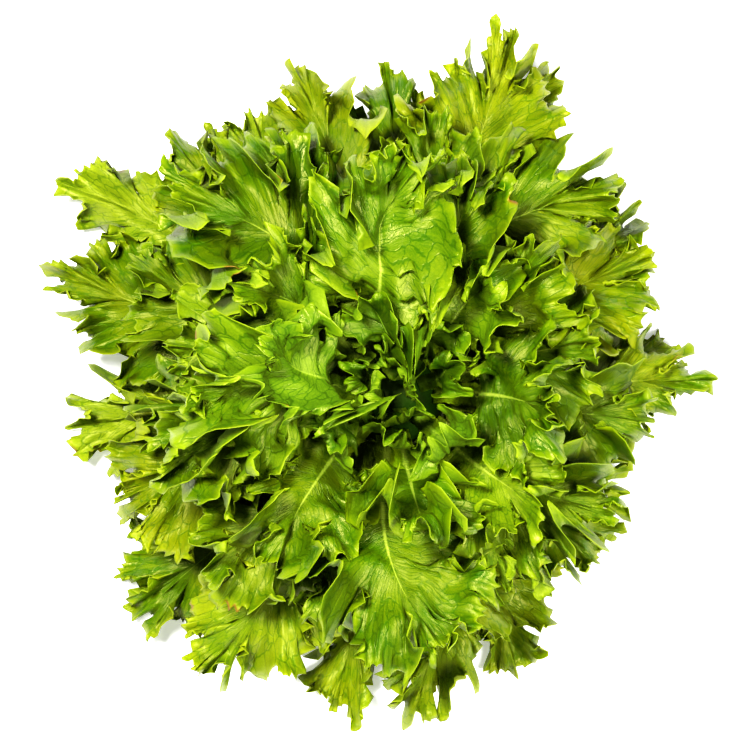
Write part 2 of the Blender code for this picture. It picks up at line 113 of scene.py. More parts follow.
# Waves: height as a share of the longest side vein; each wave's period in rows, and strength
WAVE_HEIGHT = {"outer": 0.17, "middle": 0.16, "inner": 0.14, "heart": 0.12}
WAVES = ((4, 1), (9, 0.5))
WAVE_STRAY = 0.25
WAVE_ROWS_TO_FULL = 3
TIP_WAVE_SHARE = 0.4
WAVE_POWER = 1.7

# The way a leaf runs: shares of its length
LINE_POINTS = 81
RISE_POWER = 1.6
SWERVE_FROM = 0.25
SWERVE_OVER = 0.5
TILT_FROM = 0.3
TILT_OVER = 0.3
BLADE_FLATNESS = 0.7

# Grid on which the leaves are laid over each other
THETA_STEPS = 720
T_STEP = 0.0015
T_STEPS = 140
LAYING_ROUNDS = 30
SMOOTHING_ROUNDS = 2
FACET_SHIFT = 0.04
INNER_REACH = 0.02
LEAST_SQUARE = 0.35
TINY = 1e-9
SHORT_ENOUGH = 1e-6
FLOOR_THICKNESS_GAIN = 1.3
LEAST_RISE = 0.5

# Fine leaves: columns from the rib to the margin, and fine rows between two rows of veins
INNER_COLUMNS = (0.0, 0.05, 0.11, 0.19, 0.30, 0.43)
OUTER_COLUMNS = (0.55, 0.66, 0.76, 0.85, 0.92, 0.97, 1.0)
FINE_COLUMNS = np.array(INNER_COLUMNS + OUTER_COLUMNS)
MARGIN_STEPS = {"outer": 16, "middle": 16, "inner": 16, "heart": 12}
END_ROWS = 0.6
FULL_VEIN = 0.038
FINE_SEED = 900

# Room for teeth and folds: its share on the stalk, and the power by which it grows with the vein
STALK_ROOM = 0.6
ROOM_POWER = 0.5

# Smooth noise along a line: its sines, and how their wavelengths stray
RIPPLE_SINES = 4
RIPPLE_STRAY = (0.7, 1.4)

# Teeth of the margin, coarse and fine: least and most pitch and greatest height, in metres, and sharpness
TEETH = ((0.0058, 0.0130, 0.0062, 1.6), (0.0022, 0.0050, 0.0038, 1.4))
LEAST_TOOTH = 0.35
TOOTH_DEPTH = 0.010
HOLLOW_POWER = 1.6
HOLLOW_REACH = 0.74

# Curled margins: the angle to which the vein bends, and where on it the bend starts
CURL = 2.1
CURL_EASE = 1.3
CURL_LENGTH = 0.034
CURL_FROM = 0.48
CURL_FROM_STRAY = 0.16
CURL_FROM_LIMIT = 1.5
CURL_POWER = 1.2
CURL_STEPS = 101

# Ruffles and frills, folds of the margin to and fro: wavelength in metres, and strength, which is 1 where
# their flanks stand upright
FOLDS = ((0.0200, 0.38), (0.0092, 0.38))
FRILL = {"outer": 0.85, "middle": 1.05, "inner": 1.45, "heart": 1.9}
FOLD_RISE = 2.2
FOLD_SHIFT = 0.45
FOLD_DEPTH = 0.66
FOLD_POWER = 1.4
FOLD_SLANT = 4.0
FOLD_WOBBLE = 1.6

# The lengths over which folds wander, slant and swell, in folds, and how their strength varies
FOLD_LENGTHS = (3, 5, 2.3)
FOLD_MEAN = 0.7
FOLD_VARIETY = 0.8
FOLD_LIMITS = (0.05, 1.9)

# Swells of the blade: wavelength and height, in metres, with the sines of each, how these stray, and how
# soon they rise from the rib
SWELLS = ((0.022, 0.0014), (0.0075, 0.00042))
SWELL_SINES = 5
SWELL_STRAY = (0.6, 1.5)
SWELL_EASE = 3

# Thickness and clearance of the fine leaves
FINE_BLADE_HALF = 0.00018
EDGE_THINNING = 0.35
FINE_RIB_HALF = 0.0016
FINE_RIB_WIDTH = 0.0030
RIB_TAPER = 0.22
RIB_TAPER_POWER = 1.5
THINNEST_RIB = 0.12
RIB_FADE_POWER = 0.8
RIB_ABOVE = 0.25
FINE_GAP = 0.0001
ENVELOPE_SLOPE = 1.2
ENVELOPE_ROUNDS = 6
ENVELOPE_LIMIT = 9.0
ENVELOPE_LAM = math.radians(35.0)
TOP_ROOM = 0.003
TOP_EASE = 0.011

# Marks for the material: the gap between two rows of veins as shares of the vein at the edge and of the
# leaf at the rib, and its least; the distances over which the marks of vein, edge and rib reach their full
# value; and a number of its own for every leaf
ROW_GAP = (0.18, 0.05, 0.001)
MARK_REACH = (0.004, 0.008, 0.008)
SEED_STEP = 0.731

# Looks of the leaves: linear colours, and the share of light that passes through. The colours get darker
# from the outer ring to the heart, which is painted shade for the depth of the head.
Look = namedtuple("Look", "deep light vein rib edge under glow through")
LOOKS = {
    "outer": Look((0.028, 0.108, 0.0001), (0.268, 0.288, 0.0008), (0.37, 0.46, 0.010), (0.43, 0.52, 0.06),
                  (0.50, 0.59, 0.004), (0.33, 0.42, 0.018), (0.40, 0.58, 0.001), 0.28),
    "middle": Look((0.012, 0.076, 0.0001), (0.168, 0.214, 0.0004), (0.29, 0.40, 0.006), (0.38, 0.50, 0.05),
                   (0.44, 0.57, 0.002), (0.215, 0.32, 0.008), (0.325, 0.525, 0.0005), 0.20),
    "inner": Look((0.006, 0.066, 0.0001), (0.136, 0.198, 0.0004), (0.25, 0.37, 0.006), (0.36, 0.48, 0.05),
                  (0.42, 0.55, 0.002), (0.19, 0.29, 0.008), (0.280, 0.475, 0.0005), 0.17),
    "heart": Look((0.008, 0.055, 0.0001), (0.104, 0.175, 0.0004), (0.20, 0.32, 0.006), (0.24, 0.36, 0.03),
                  (0.32, 0.46, 0.002), (0.15, 0.25, 0.010), (0.18, 0.40, 0.0005), 0.15),
}
BURNT_TIP = (0.20, 0.10, 0.012, 1)
SHINE = (1.0, 0.93, 0.36, 1.0)

# How often streaks and nerves repeat along the rows, across the leaf and from leaf to leaf
STREAKS = (16.0, 0.8, 1.0)
NERVES = (2.6, 4.5, 1.0)

# How often the other patterns of a leaf repeat in a metre
CLOUDS = 45.0
NETWORK = 620.0
NERVE_BENDS = 120.0
BURNT_SPOTS = 38.0
WRINKLES = 170.0

# Relief of the leaves: its strength, and the depth in metres of a relief of 1
RELIEF_STRENGTH = 0.55
RELIEF_DEPTH = 0.0010

# Fine stem: the depth of its scars, the heights between which they begin and end, how often they repeat
# round it and up it, and the heights of its lower rings
FINE_STEM_SIDES = 96
FINE_CROWN_RINGS = 24
STEM_SCAR = 0.0010
SCARS_FROM = 0.003
SCARS_TO = (0.030, 0.040)
SCARS = ((5, 260), (2, 330))
EDGE_LEVELS = (0.0, 0.0003, 0.0008)
SIDE_LEVELS = (0.0018, 0.014, 9)

# Studio: each light's name, place, size and power
FLOOR_SIZE = 60.0
# The floor's glow: painted light that washes out the head's shadow on the floor
FLOOR_GLOW = 0.45
WORLD_STRENGTH = 0.09
LIGHT_TARGET = Vector((0, 0, 0.05))
LIGHTS = (
    ("key_light", (-0.46, 0.24, 1.44), 0.40, 66.0),
    ("fill_light", (0.74, -0.50, 1.15), 0.5, 36.0),
)

# Distances over which the floor's glow, which is painted light, begins outside the head's shade, and over
# which it replaces the light that fades far away
FLOOR_DARK = (0.06, 0.13)
FAR_FLOOR = (0.3, 1.5)

# Contrast of the picture: linear brightness in and out, between black and white
CONTRAST = ((0.03, 0.013), (0.10, 0.063), (0.20, 0.144), (0.35, 0.326), (0.60, 0.614))

# Camera: a real width of the frame at the distance of the head's middle
SENSOR_WIDTH = 36.0
FRAME_WIDTH = 0.3008
CAMERA_DISTANCE = 1.15
CAMERA_ELEVATION = math.radians(84.0)
CAMERA_TARGET = Vector((-0.0036, 0.0036, 0.045))

# How far a leaf's own swerve and tilt stray from the table's, in degrees
VARIETY = 18.0
VARIETY_SEED = 7
FIRST_SEED = 100

# Every leaf from the lowest to the heart, in degrees and millimetres: azimuth and reach of the tip seen from
# above, the tip's height above the cut face, the elevation at the crown, the longest side vein, the lobes on
# each side, and where they aren't 0 how far the blade turns sideways (swerve) and over (tilt).
RINGS = {
    "outer": (
        (186, 133, 3, -6, 40, 2), (8, 124, 4, -6, 36, 2), (260, 134, 3, -6, 38, 2), (62, 156, 5, -5, 40, 3),
        (147, 163, 10, -5, 36, 2), (295, 130, 3, -6, 36, 2), (115, 134, 4, -4, 40, 2),
        (222, 140, 8, -4, 42, 3), (338, 108, 10, -3, 38, 2), (90, 137, 14, 4, 36, 2),
        (160, 151, 22, 12, 36, 3, 8), (37, 132, 20, 10, 38, 2), (273, 138, 20, 12, 34, 3, -6),
        (70, 158, 30, 15, 42, 3), (203, 119, 30, 14, 44, 3, 0, 8), (321, 112, 25, 14, 38, 3),
        (237, 138, 24, 14, 38, 3, 10), (2, 136, 22, 14, 30, 3, -8), (130, 139, 30, 16, 38, 3),
        (106, 140, 34, 18, 36, 3, -6), (26, 121, 36, 20, 40, 3),
    ),
    "middle": (
        (352, 108, 50, 24, 38, 2), (190, 98, 56, 25, 38, 2, 0, -10), (300, 96, 52, 25, 38, 2),
        (256, 100, 54, 25, 36, 2), (155, 113, 52, 26, 38, 3), (38, 118, 58, 26, 42, 3, -26, 10),
        (226, 106, 58, 27, 40, 3), (82, 112, 60, 27, 36, 2), (330, 104, 56, 28, 40, 3, 0, -8),
        (118, 112, 62, 28, 38, 2), (172, 86, 80, 37, 38, 2), (282, 108, 80, 37, 46, 3, 30),
        (10, 84, 80, 38, 36, 2, 0, 8), (205, 96, 84, 38, 40, 3), (320, 80, 82, 39, 36, 2),
        (240, 84, 82, 39, 36, 2), (140, 110, 86, 40, 46, 3, 36), (42, 78, 88, 40, 34, 2),
        (66, 88, 94, 41, 38, 3),
    ),
    "inner": (
        (345, 66, 104, 48, 34, 3), (285, 62, 108, 48, 34, 2, 0, -8), (150, 66, 106, 49, 36, 3),
        (186, 74, 112, 50, 44, 3), (38, 50, 112, 50, 32, 2), (78, 84, 110, 50, 40, 3, -14),
    ),
    "heart": (
        (225, 34, 106, 57, 22, 1), (310, 36, 100, 57, 20, 1), (165, 44, 121, 58, 36, 2),
        (30, 34, 100, 60, 20, 1), (110, 30, 102, 61, 20, 1), (270, 22, 92, 65, 16, 1),
        (10, 24, 90, 66, 16, 1), (185, 12, 92, 67, 16, 1), (80, 14, 88, 69, 14, 1), (312, 17, 84, 73, 12, 1),
        (230, 7, 84, 75, 12, 1), (30, 15, 82, 77, 11, 1), (340, 10, 80, 82, 10, 1),
    ),
}

Leaf = namedtuple("Leaf", "name ring azimuth reach height root vein swerve tilt lobes start wave seed")


def leaves():
    """The table's leaves in metres and radians, each with a little variety of its own."""
    rng = np.random.default_rng(VARIETY_SEED)
    made = []
    for ring, rows in RINGS.items():
        for number, row in enumerate(rows, start=1):
            azimuth, reach, height, root, vein, lobes, swerve, tilt = (*row, 0, 0)[:8]
            made.append(Leaf(
                name=f"{ring}_leaf_{number:02d}", ring=ring,
                azimuth=math.radians(azimuth), reach=reach / 1000, height=height / 1000,
                root=math.radians(root), vein=vein / 1000,
                swerve=math.radians(swerve + rng.uniform(-VARIETY, VARIETY)),
                tilt=math.radians(tilt + rng.uniform(-VARIETY, VARIETY)),
                lobes=lobes, start=BLADE_START[ring], wave=WAVE_HEIGHT[ring], seed=FIRST_SEED + len(made)))
    return made


# The arches

def turning(lam):
    """How fast the arch that starts at elevation lam turns outward, in radians a metre."""
    above = np.maximum(lam - BEND_FROM, 0.0)
    fade = 1.0 - np.minimum(above / (AXIS_LAM - BEND_FROM), 1.0) ** BEND_FADE
    return BEND_GAIN * above * fade / BEND_LENGTH


def arch(lam, t):
    """Distance from the axis and height of the point t along the arch that starts at elevation lam."""
    turn = turning(lam) * t
    chord = t * np.sinc(turn / TURN)
    heading = lam - turn / 2
    out = CROWN_RADIUS * np.cos(lam) + chord * np.cos(heading)
    up = CROWN_MIDDLE + CROWN_RADIUS * np.sin(lam) + chord * np.sin(heading)
    return out, up


def pitch(lam, t):
    """The slope of the arch at t."""
    return lam - turning(lam) * t


def turned(out, up, slope):
    """The offset's parts square to the slope and along it."""
    return up * np.cos(slope) - out * np.sin(slope), out * np.cos(slope) + up * np.sin(slope)


def spread(lam, t):
    """How far two arches lie apart at t, in metres a radian: square to them, and along them."""
    out_a, up_a = arch(lam - SPREAD_STEP, t)
    out_b, up_b = arch(lam + SPREAD_STEP, t)
    square, along = turned(out_b - out_a, up_b - up_a, pitch(lam, t))
    return np.maximum(square / (2 * SPREAD_STEP), CROWN_RADIUS), along / (2 * SPREAD_STEP)


def stand(theta, lam, t):
    """The point in space, before the head leans."""
    out, up = arch(lam, t)
    return np.stack([out * np.cos(theta), out * np.sin(theta), up], axis=-1)


def lean(points):
    """The points, moved sideways with their height."""
    return points + points[..., 2:] * LEAN


def find_arch(out, up):
    """lam and t of a point at distance out from the axis and height up."""
    rise = up - CROWN_MIDDLE
    guess = np.array([math.atan2(rise, out) + SEARCH_BEND, math.hypot(out, rise)])
    for _ in range(SEARCH_ROUNDS):
        here = np.array(arch(*guess))
        steps = np.eye(2) * SEARCH_STEP
        slopes = [(np.array(arch(*(guess + step))) - here) / SEARCH_STEP for step in steps]
        move = np.linalg.solve(np.stack(slopes, axis=1), np.array([out, up]) - here)
        guess = guess + np.clip(move, -SEARCH_MOVE, SEARCH_MOVE)
    return guess


def above_floor(lam, t, metric, half):
    """lam, raised where a leaf of this half thickness would touch the floor."""
    low = np.maximum(FLOOR_GAP + FLOOR_THICKNESS_GAIN * half - arch(lam, t)[1], 0)
    return lam + low / (metric * np.maximum(np.cos(pitch(lam, t)), LEAST_RISE))


# One leaf

def row_kinds(leaf):
    """The rows of side veins from root to tip: what each ends in, and where it leaves the rib, 0 to 1."""
    kinds = ["stalk"] * STALK_ROWS + ["sinus"]
    starts = [0.0, 0.5 * leaf.start, leaf.start]
    tip_start = TIP_LOBE_START[leaf.lobes]
    for lobe in range(leaf.lobes):
        for kind, share in LOBE_ROWS:
            kinds.append(kind)
            starts.append(leaf.start + (1 - leaf.start) * tip_start * (lobe + share) / leaf.lobes)
    for kind, share in TIP_ROWS:
        kinds.append(kind)
        starts.append(leaf.start + (1 - leaf.start) * (tip_start + (1 - tip_start) * share))
    return kinds, np.array(starts)


def side_rows(leaf, length, rng):
    """For each row on one side: the vein's angle from the rib, its length, and its end's rise."""
    kinds, starts = row_kinds(leaf)
    along = np.clip((starts - leaf.start) / (1 - leaf.start), 0, 1)
    shift = np.where((along > 0) & (along < 1), rng.uniform(-ROW_STRAY, ROW_STRAY, len(along)), 0)
    along = np.clip(along + shift, 0, 1)
    angles = FIRST_VEIN_ANGLE * (1 - along ** VEIN_ANGLE_POWER)
    tip_vein = length * (1 - RIB_SHARE)
    widening = np.minimum(along / WIDEST_SHARE, 1)
    stalk = STALK_HALF_WIDTH + STALK_WIDENING * leaf.vein
    full = stalk + (leaf.vein - stalk) * widening * (2 - widening)
    full = full + (tip_vein - full) * along ** TIP_POWER
    reach = np.array([VEIN_REACH[kind] for kind in kinds])
    reach = reach * rng.uniform(1 - VEIN_STRAY, 1 + VEIN_STRAY, len(kinds))
    reach[STALK_ROWS] = 1.0
    count = np.arange(len(kinds)) - STALK_ROWS
    ramp = np.clip(count / WAVE_ROWS_TO_FULL, 0, 1)
    wave = sum(share * np.cos(count * TURN / period + rng.uniform(0, TURN)) for period, share in WAVES)
    wave = wave + rng.uniform(-WAVE_STRAY, WAVE_STRAY, len(kinds))
    rise = leaf.wave * full * wave * ramp
    rise[-1] = TIP_WAVE_SHARE * rise[-1]
    return angles, full * reach, rise


def summed(values):
    """The running sum from 0 of the means of neighbours, along the last axis."""
    means = (values[..., 1:] + values[..., :-1]) / 2
    return np.concatenate([0 * values[..., :1], np.cumsum(means, axis=-1)], axis=-1)


def leaf_plan(leaf):
    """The leaf's middle line and its rows of veins."""
    rng = np.random.default_rng(leaf.seed)
    way = np.array([math.cos(leaf.azimuth), math.sin(leaf.azimuth)])
    tip = leaf.reach * way - LEAN[:2] * leaf.height
    tip_lam, tip_t = find_arch(math.hypot(*tip), leaf.height)
    line = np.linspace(0, 1, LINE_POINTS)
    swerve = leaf.swerve * np.clip((line - SWERVE_FROM) / SWERVE_OVER, 0, 1)
    forward = np.cos(swerve)
    steps = summed(forward) / (LINE_POINTS - 1)
    length = (tip_t - ROOT_GAP) / steps[-1]
    t = ROOT_GAP + steps * length
    lam = leaf.root + (tip_lam - leaf.root) * (t / tip_t) ** RISE_POWER
    out, _ = arch(lam, t)
    drift = np.sin(swerve) / out * length / (LINE_POINTS - 1)
    theta = summed(drift)
    theta = theta - theta[-1] + math.atan2(*tip[::-1])
    sides = np.array([side_rows(leaf, length, rng) for _ in SIDES])
    sides[:, :, -1] = sides[:, :, -1].mean(axis=0)
    return {"line": line * length, "length": length, "t": t, "lam": lam, "theta": theta,
            "swerve": swerve, "sides": sides, "starts": row_kinds(leaf)[1]}


def numbering(tip):
    """The sheet's vertices by row, side and column, and the function that numbers them.

    The two sides share the rib and the row at the tip.
    """
    index = {}

    def vertex(row, side, column):
        side = 0 if column == 0 else 1 if row == tip else side
        return index.setdefault((row, side, column), len(index))

    return index, vertex


def outline(vertex, tip, last):
    """The vertices of the sheet's rim; last is the outermost column."""
    rim = [vertex(0, -1, column) for column in range(last, 0, -1)]
    rim += [vertex(0, 1, column) for column in range(last + 1)]
    rim += [vertex(row, 1, last) for row in range(1, tip + 1)]
    rim += [vertex(row, -1, last) for row in range(tip - 1, 0, -1)]
    return rim[::-1]


def leaf_net(row_count, column_count):
    """Vertices as row, side and column, triangles and rim of the coarse sheet."""
    index, vertex = numbering(row_count - 1)
    triangles = []
    for row in range(row_count - 1):
        for side in SIDES:
            for column in range(column_count - 1):
                a = vertex(row, side, column)
                b = vertex(row, side, column + 1)
                c = vertex(row + 1, side, column + 1)
                d = vertex(row + 1, side, column)
                halves = [(a, b, c), (a, c, d)] if (row + column) % 2 else [(a, b, d), (b, c, d)]
                triangles += halves if side == -1 else [half[::-1] for half in halves]
    rim = outline(vertex, row_count - 1, column_count - 1)
    return np.array(list(index)), np.array(triangles), rim


def leaf_sheet(leaf, plan, rows, sides, columns):
    """theta, lam and t of the sheet's points, before it is laid on the leaves below."""
    rib = plan["starts"][rows] * RIB_SHARE * plan["length"]
    angle, vein, rise = plan["sides"][(sides != -1).astype(int), :, rows].T
    away = vein * columns
    across = sides * away * np.sin(angle)
    return place(leaf, plan, rib + away * np.cos(angle), across, rise * columns ** WAVE_POWER)


def place(leaf, plan, along, across, height):
    """theta, lam and t of points of the flat leaf that are raised by height."""
    blade = np.clip((along / plan["length"] - TILT_FROM) / TILT_OVER, 0, 1)
    height = height + across * np.tan(leaf.tilt) * blade
    line = plan["line"]
    t, lam, theta, swerve = (np.interp(along, line, plan[part]) for part in ("t", "lam", "theta", "swerve"))
    t = t + np.maximum(along - line[-1], 0)
    sideways = across * np.cos(swerve)
    t = np.maximum(t - across * np.sin(swerve), ROOT_GAP)
    out, _ = arch(lam, t)
    outward = BLADE_FLATNESS * (np.hypot(out, sideways) - out)
    slope = pitch(lam, t)
    metric, _ = spread(lam, t)
    theta = theta + np.arctan2(sideways, out)
    lam = lam + (height - outward * np.sin(slope)) / metric
    t = np.maximum(t + outward * np.cos(slope), ROOT_GAP)
    return theta, np.minimum(lam, HIGHEST_LAM), t


def half_thickness(leaf, plan, rows, columns):
    """Half of the leaf's thickness at each point: a thick stalk, a slim rib, a thin blade."""
    start = plan["starts"][rows]
    stalk = np.clip(1 - start / leaf.start, 0, 1)
    rib = RIB_THICKNESS + (STALK_THICKNESS - RIB_THICKNESS) * stalk
    edge = BLADE_THICKNESS * (1 + STALK_EDGE_GAIN * stalk)
    share = np.clip(1 - columns / COLUMNS[1] * (1 - stalk / 2), 0, 1)
    return (edge + (rib - edge) * share) / 2


def point_normals(points, faces):
    """Normals at the sheet's points, for arrays of triangles and of squares."""
    normals = np.zeros_like(points)
    for own in faces:
        corners = points[own]
        face = np.cross(corners[:, 2] - corners[:, 0], corners[:, -1] - corners[:, 1])
        for corner in own.T:
            np.add.at(normals, corner, face)
    return normals / np.maximum(np.linalg.norm(normals, axis=1), TINY ** 2)[:, None]


# Laying the leaves over each other

def outer_reach(theta, lam, t, triangles, rim):
    """How far past each corner's opposite edge a triangle counts as covering, as a share of its height."""
    out, _ = arch(lam, t)
    flat = np.stack([theta * out.mean(), t], axis=1)
    rim_edges = {frozenset(pair) for pair in zip(rim, rim[1:] + rim[:1])}
    reach = np.full((len(triangles), 3), INNER_REACH)
    for number, corners in enumerate(triangles):
        for corner in range(3):
            first, second, third = np.roll(corners, -corner)
            if frozenset((second, third)) in rim_edges:
                edge = flat[third] - flat[second]
                aside = flat[first] - flat[second]
                area = abs(edge[0] * aside[1] - edge[1] * aside[0])
                reach[number, corner] = min(EDGE_MARGIN * math.hypot(*edge) / max(area, TINY), 1.0)
    return reach


def covered_cells(theta, lam, t, triangles, rim):
    """Grid nodes under the sheet: triangle, node and the three corners' shares."""
    reach = outer_reach(theta, lam, t, triangles, rim)
    a = theta * THETA_STEPS / TURN
    b = t / T_STEP
    out, _ = arch(lam, t)
    pad_x = EDGE_MARGIN / out.min() * THETA_STEPS / TURN
    pad_y = EDGE_MARGIN / T_STEP
    found = []
    for number, corners in enumerate(triangles):
        xs, ys = a[corners], b[corners]
        (dx1, dx2), (dy1, dy2) = xs[1:] - xs[0], ys[1:] - ys[0]
        low_x, high_x = math.ceil(xs.min() - pad_x), math.floor(xs.max() + pad_x)
        low_y, high_y = max(math.ceil(ys.min() - pad_y), 0), min(math.floor(ys.max() + pad_y), T_STEPS - 1)
        area = dx1 * dy2 - dx2 * dy1
        if high_x < low_x or high_y < low_y or abs(area) < TINY:
            continue
        grid = np.meshgrid(np.arange(low_x, high_x + 1), np.arange(low_y, high_y + 1))
        gx, gy = (part.ravel() for part in grid)
        second = ((gx - xs[0]) * dy2 - dx2 * (gy - ys[0])) / area
        third = (dx1 * (gy - ys[0]) - (gx - xs[0]) * dy1) / area
        share = np.stack([1 - second - third, second, third], axis=1)
        inside = (share > -reach[number]).all(axis=1)
        node = (gx % THETA_STEPS) * T_STEPS + gy
        found.append(np.column_stack([np.full(len(node), number), node, share])[inside])
    cells = np.concatenate(found)
    return cells[:, 0].astype(int), cells[:, 1].astype(int), cells[:, 2:]


def smooth_lift(lift, triangles):
    """Each point's lift drawn up towards the mean of its neighbours."""
    total, count = np.zeros((2, len(lift)))
    for first, second in permutations(range(3), 2):
        np.add.at(total, triangles[:, first], lift[triangles[:, second]])
        np.add.at(count, triangles[:, first], 1)
    return np.maximum(lift, total / count)


def crossed(first, second):
    """The cross product of each row's pairs."""
    return first[:, 0] * second[:, 1] - first[:, 1] * second[:, 0]


def facet_lam(points, theta, lam, t, triangles, cells):
    """lam of the facets of points over the grid's nodes, true to the flat facets."""
    number, _, share = cells
    corners = triangles[number]
    here = (points[corners] * share[:, :, None]).sum(axis=1)
    guess_theta, guess_lam, guess_t = ((part[corners] * share).sum(axis=1) for part in (theta, lam, t))
    out, up = arch(guess_lam, guess_t)
    off_out = np.hypot(here[:, 0], here[:, 1]) - out
    off_lam, off_t = turned(off_out, here[:, 2] - up, pitch(guess_lam, guess_t))
    square, along = spread(guess_lam, guess_t)
    off_lam = off_lam / square
    off_t = off_t - off_lam * along
    turn = np.arctan2(here[:, 1], here[:, 0]) - guess_theta
    off_theta = (turn + math.pi) % TURN - math.pi
    d_theta, d_lam, d_t = (part[triangles[:, 1:]] - part[triangles[:, :1]] for part in (theta, lam, t))
    area = crossed(d_theta, d_t)
    area = np.where(np.abs(area) < TINY, TINY, area)
    by_theta = crossed(d_lam, d_t) / area
    by_t = crossed(d_theta, d_lam) / area
    shift = -by_theta[number] * off_theta - by_t[number] * off_t
    return guess_lam + off_lam + np.clip(shift, -FACET_SHIFT, FACET_SHIFT)


def lay(leaf, plan, ceiling):
    """The leaf's sheet, raised wherever leaves below would touch it; ceiling is their upper side."""
    net, triangles, rim = leaf_net(len(plan["starts"]), len(COLUMNS))
    rows, sides = net[:, 0], net[:, 1]
    columns = np.array(COLUMNS)[net[:, 2]]
    theta, lam, t = leaf_sheet(leaf, plan, rows, sides, columns)
    half = half_thickness(leaf, plan, rows, columns)
    cells = covered_cells(theta, lam, t, triangles, rim)
    number, node, share = cells
    corners = triangles[number]
    below = ceiling[node]
    lift = np.zeros(len(lam))
    metric, _ = spread(lam, t)

    def faces(now):
        points = stand(theta, now, t)
        normals = point_normals(points, [triangles])
        steep = stack_slope(normals, theta, now, t)
        return points, normals * half[:, None], steep

    for round_number in range(LAYING_ROUNDS):
        now = lam + lift
        points, offset, steep = faces(now)
        bottom = facet_lam(points - offset, theta, now, t, triangles, cells)
        gap = (LEAF_GAP / (metric * steep))[corners].mean(axis=1)
        short = np.maximum(below + gap - bottom, 0)
        if short.max() < SHORT_ENOUGH:
            break
        wanted = np.zeros(len(lam))
        part = short[:, None] * share / (share ** 2).sum(axis=1)[:, None]
        for corner in range(3):
            np.maximum.at(wanted, corners[:, corner], part[:, corner])
        lift = lift + wanted
        if round_number < SMOOTHING_ROUNDS:
            lift = smooth_lift(lift, triangles)
    now = above_floor(lam + lift, t, metric, half)
    points, offset, _ = faces(now)
    top = facet_lam(points + offset, theta, now, t, triangles, cells)
    np.maximum.at(ceiling, node, top)
    bottom = facet_lam(points - offset, theta, now, t, triangles, cells)
    return {"lift": now - lam, "node": node, "bottom": bottom}


def stack_slope(normals, theta, lam, t):
    """How square the sheet lies to the direction in which leaves are stacked."""
    slope = pitch(lam, t)
    up = np.stack([-np.sin(slope) * np.cos(theta), -np.sin(slope) * np.sin(theta), np.cos(slope)], axis=1)
    return np.maximum(np.abs((normals * up).sum(axis=1)), LEAST_SQUARE)


def lay_all():
    """Every leaf with its coarse sheet laid, and the limits between which its fine sheet may move."""
    ceiling = np.full(THETA_STEPS * T_STEPS, -math.inf)
    made = []
    for leaf in leaves():
        floor = ceiling.copy()
        plan = leaf_plan(leaf)
        made.append({"leaf": leaf, "plan": plan, "floor": floor, **lay(leaf, plan, ceiling)})
    roof = np.full(THETA_STEPS * T_STEPS, math.inf)
    for laid in reversed(made):
        laid["roof"] = roof.copy()
        np.minimum.at(roof, laid["node"], laid["bottom"])
    return made


# Fine leaves

def smooth_rows(u, values):
    """The rows' values at the row coordinates u, on a smooth curve through them."""
    padded = np.concatenate([[2 * values[0] - values[1]], values, [2 * values[-1] - values[-2]]])
    row = np.minimum(u.astype(int), len(values) - 2)
    share = u - row
    a, b, c, d = (padded[row + shift] for shift in range(4))
    bend = 2 * a - 5 * b + 4 * c - d + share * (3 * (b - c) + d - a)
    return b + share / 2 * (c - a + share * bend)


def lobed_rows(u, values, kinds):
    """The veins' lengths at the row coordinates u: broad lobes, with narrow rounded hollows between them."""
    row = np.minimum(u.astype(int), len(values) - 2)
    share = u - row
    hollow = np.array([kind == "sinus" for kind in kinds])
    values = np.where(hollow & (np.arange(len(kinds)) > STALK_ROWS), HOLLOW_REACH * values, values)
    into = np.where(hollow[row + 1], share ** HOLLOW_POWER, share)
    into = np.where(hollow[row], 1 - (1 - share) ** HOLLOW_POWER, into)
    return values[row] + (values[row + 1] - values[row]) * into * into * (3 - 2 * into)


def ripple(places, wavelength, rng):
    """Smooth noise of about -1 to 1 along a line: sines near one wavelength."""
    total = np.zeros_like(places)
    for _ in range(RIPPLE_SINES):
        own = wavelength * rng.uniform(*RIPPLE_STRAY)
        total = total + np.sin(TURN * places / own + rng.uniform(0, TURN))
    return total / math.sqrt(RIPPLE_SINES)


def teeth(places, least, most, height, power, rng):
    """How far teeth stand out of the margin: sharp points with hollows between."""
    gaps = rng.uniform(least, most, int(places[-1] / least) + 2)
    points = np.cumsum(gaps) - gaps[0]
    nearest = np.minimum(np.searchsorted(places, points), len(places) - 1)
    points = np.where(points < places[-1], places[nearest], points)
    heights = height * rng.uniform(LEAST_TOOTH, 1.0, len(points))
    before = np.searchsorted(points, places, side="right") - 1
    share = (places - points[before]) / (points[before + 1] - points[before])
    near = np.maximum(1 - 2 * share, 0) ** power
    far = np.maximum(2 * share - 1, 0) ** power
    return heights[before] * near + heights[before + 1] * far - height / 4


def folds(places, to_edge, wavelength, strength, rng):
    """A margin that folds to and fro: height, and shift along itself, over the rows and columns."""
    wobble, slant = (ripple(places, length * wavelength, rng) for length in FOLD_LENGTHS[:2])
    phase = TURN * places / wavelength + rng.uniform(0, TURN) + FOLD_WOBBLE * wobble
    phase = phase[:, None] + (FOLD_SLANT * slant)[:, None] * to_edge / wavelength
    swelling = FOLD_MEAN + FOLD_VARIETY * ripple(places, FOLD_LENGTHS[2] * wavelength, rng)
    strength = strength * np.clip(swelling, *FOLD_LIMITS)
    strength = strength[:, None] * np.clip(1 - to_edge / (FOLD_DEPTH * wavelength), 0, 1) ** FOLD_POWER
    unit = wavelength / TURN
    rise = FOLD_RISE * unit * strength * np.sin(phase)
    return rise, -FOLD_SHIFT * unit * strength ** 2 * np.sin(2 * phase)


